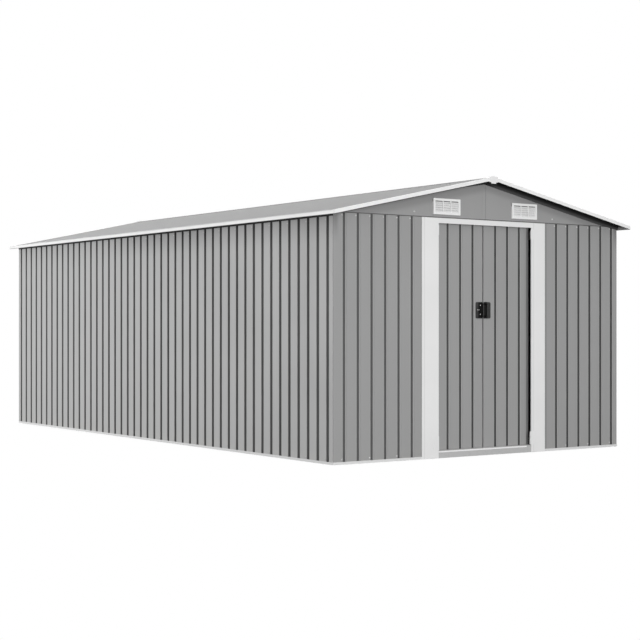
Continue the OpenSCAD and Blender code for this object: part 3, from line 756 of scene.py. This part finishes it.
# Flat bead along the front of the sill
BEAD_H = 0.009
BEAD_T = 0.001
BEAD_R = 0.002
BEAD_LEFT_IN = 0.0005
BEAD_RIGHT_IN = 0.0415
lo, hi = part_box("door_sill")
bm = bmesh.new()
outline = rounded(lo.x + BEAD_LEFT_IN, hi.x - BEAD_RIGHT_IN, BEAD_TOP - BEAD_H, BEAD_TOP, BEAD_R)
plate(bm, outline, lo.y - BEAD_T, BEAD_T)
piece("sill_bead", bm, bead_mat)


# Insect net behind the louvres
NET_MESH = 0.0016


def net_material():
    t = Tree("vent_net")
    x, _, z = t.xyz()
    waves = [t.math("SINE", t.times(v, math.pi / NET_MESH)) for v in (x, z)]
    wires = t.math("MAXIMUM", *[t.ramp(t.absolute(wave), 0.35, 0.15) for wave in waves])
    t.put(t.bsdf.inputs["Base Color"], t.mix(wires, grey(0.3), grey(0.62)))
    t.put(t.bsdf.inputs["Roughness"], t.ramp(wires, 0, 1, 0.7, 0.5))
    t.bump(wires, 0.3, 0.0004)
    return t.mat


net_mat = net_material()
RIM = 0.015
NET_R = 0.001
NET_T = 0.0006
NET_GAP = 0.0002
for word in ("left", "right"):
    lo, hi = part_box("vent_" + word)
    bm = bmesh.new()
    outline = rounded(lo.x + RIM, hi.x - RIM, lo.z + RIM, hi.z - RIM, NET_R)
    plate(bm, outline, GABLE_Y + NET_GAP, NET_T)
    piece("vent_net_" + word, bm, net_mat)

# Soft edges of the moulded parts
for kind, width in (("door_handle_", 0.003), ("vent_", 0.001)):
    for word in ("left", "right"):
        bevel = NODES[kind + word].modifiers.new("edge", "BEVEL")
        bevel.width = width
        bevel.segments = 3
        bevel.limit_method = "ANGLE"

# Camera at the photograph's place
cam = bpy.data.objects.new("camera", bpy.data.cameras.new("camera"))
scene.collection.objects.link(cam)
cam.data.sensor_width = 36
cam.data.sensor_fit = "HORIZONTAL"
cam.data.lens = 81.934
cam.data.shift_y = 0.01
cam.data.clip_end = 100
cam.location = (-6.307, -9.549, 0.8385)
cam.rotation_euler = (math.radians(90), 0, math.radians(-34.814))
scene.camera = cam

# Soft studio light: the world is white where it is seen, and weaker where it lights
world = bpy.data.worlds.new("studio")
scene.world = world
world.use_nodes = True
wt = world.node_tree
back = wt.nodes["Background"]
path = wt.nodes.new("ShaderNodeLightPath")


def any_of(tree, outputs):
    total = outputs[0]
    for o in outputs[1:]:
        n = tree.nodes.new("ShaderNodeMath")
        n.operation = "MAXIMUM"
        tree.links.new(total, n.inputs[0])
        tree.links.new(o, n.inputs[1])
        total = n.outputs[0]
    return total


SEEN = ("Is Camera Ray", "Is Glossy Ray", "Is Transmission Ray")
level = wt.nodes.new("ShaderNodeMapRange")
level.inputs["To Min"].default_value = 0.5
level.inputs["To Max"].default_value = 1.0
wt.links.new(any_of(wt, [path.outputs[n] for n in SEEN]), level.inputs["Value"])
wt.links.new(level.outputs["Result"], back.inputs["Strength"])
back.inputs["Color"].default_value = (1, 1, 1, 1)


def area(name, place, aim, size, power):
    light = bpy.data.lights.new(name, "AREA")
    light.shape = "RECTANGLE"
    light.size, light.size_y = size
    light.energy = power
    o = bpy.data.objects.new(name, light)
    scene.collection.objects.link(o)
    o.location = place
    o.rotation_euler = (Vector(aim) - Vector(place)).to_track_quat("-Z", "Y").to_euler()


area("key", (-9.5, 4.5, 1.7), (-1, 1.5, 0.8), (7, 3), 730)
area("front", (-3, -11.5, 1.7), (0, -2, 0.8), (8, 3), 575)
area("right", (10, 1, 2.5), (1, 0, 0.8), (7, 3), 520)
area("rear", (1.5, 12, 2.5), (0, 2, 0.8), (7, 3), 400)
area("top", (0, 0, 9), (0, 0, 0), (8, 8), 435)

# Pale floor: white where nothing stands near, with the soft shadow of the shed
FLOOR_R = 60
floor_mesh = bpy.data.meshes.new("floor")
corners = [(a * FLOOR_R, b * FLOOR_R, 0) for a, b in ((-1, -1), (1, -1), (1, 1), (-1, 1))]
floor_mesh.from_pydata(corners, [], [(0, 1, 2, 3)])
floor = bpy.data.objects.new("floor", floor_mesh)
scene.collection.objects.link(floor)
floor.location.z = -0.0005
ft = Tree("floor")
patches = ft.ramp(ft.noise(0.8, 2), 0.3, 0.7)
ft.put(ft.bsdf.inputs["Base Color"], ft.mix(patches, grey(0.14), grey(0.16)))
ft.bsdf.inputs["Roughness"].default_value = 0.9
ft.bsdf.inputs["Specular IOR Level"].default_value = 0.0


def nearness(distance, lo, hi, dark):
    n = ft.node("ShaderNodeAmbientOcclusion", samples=24)
    n.inputs["Distance"].default_value = distance
    return ft.ramp(n.outputs["AO"], lo, hi, dark, 1.0)


glow = ft.node("ShaderNodeEmission")
close_shadow = nearness(0.7, 0.2, 0.6, 0.85)
wide_shadow = nearness(6.0, 0.05, 0.35, 0.02)
ft.put(glow.inputs["Strength"], ft.times(close_shadow, wide_shadow))
lp = ft.node("ShaderNodeLightPath")
blend = ft.node("ShaderNodeMixShader")
ft.put(blend.inputs[0], any_of(ft.t, [lp.outputs[n] for n in SEEN]))
ft.t.links.new(ft.bsdf.outputs[0], blend.inputs[1])
ft.t.links.new(glow.outputs[0], blend.inputs[2])
ft.t.links.new(blend.outputs[0], ft.t.nodes["Material Output"].inputs["Surface"])
floor.data.materials.append(ft.mat)

scene.view_settings.view_transform = "Standard"
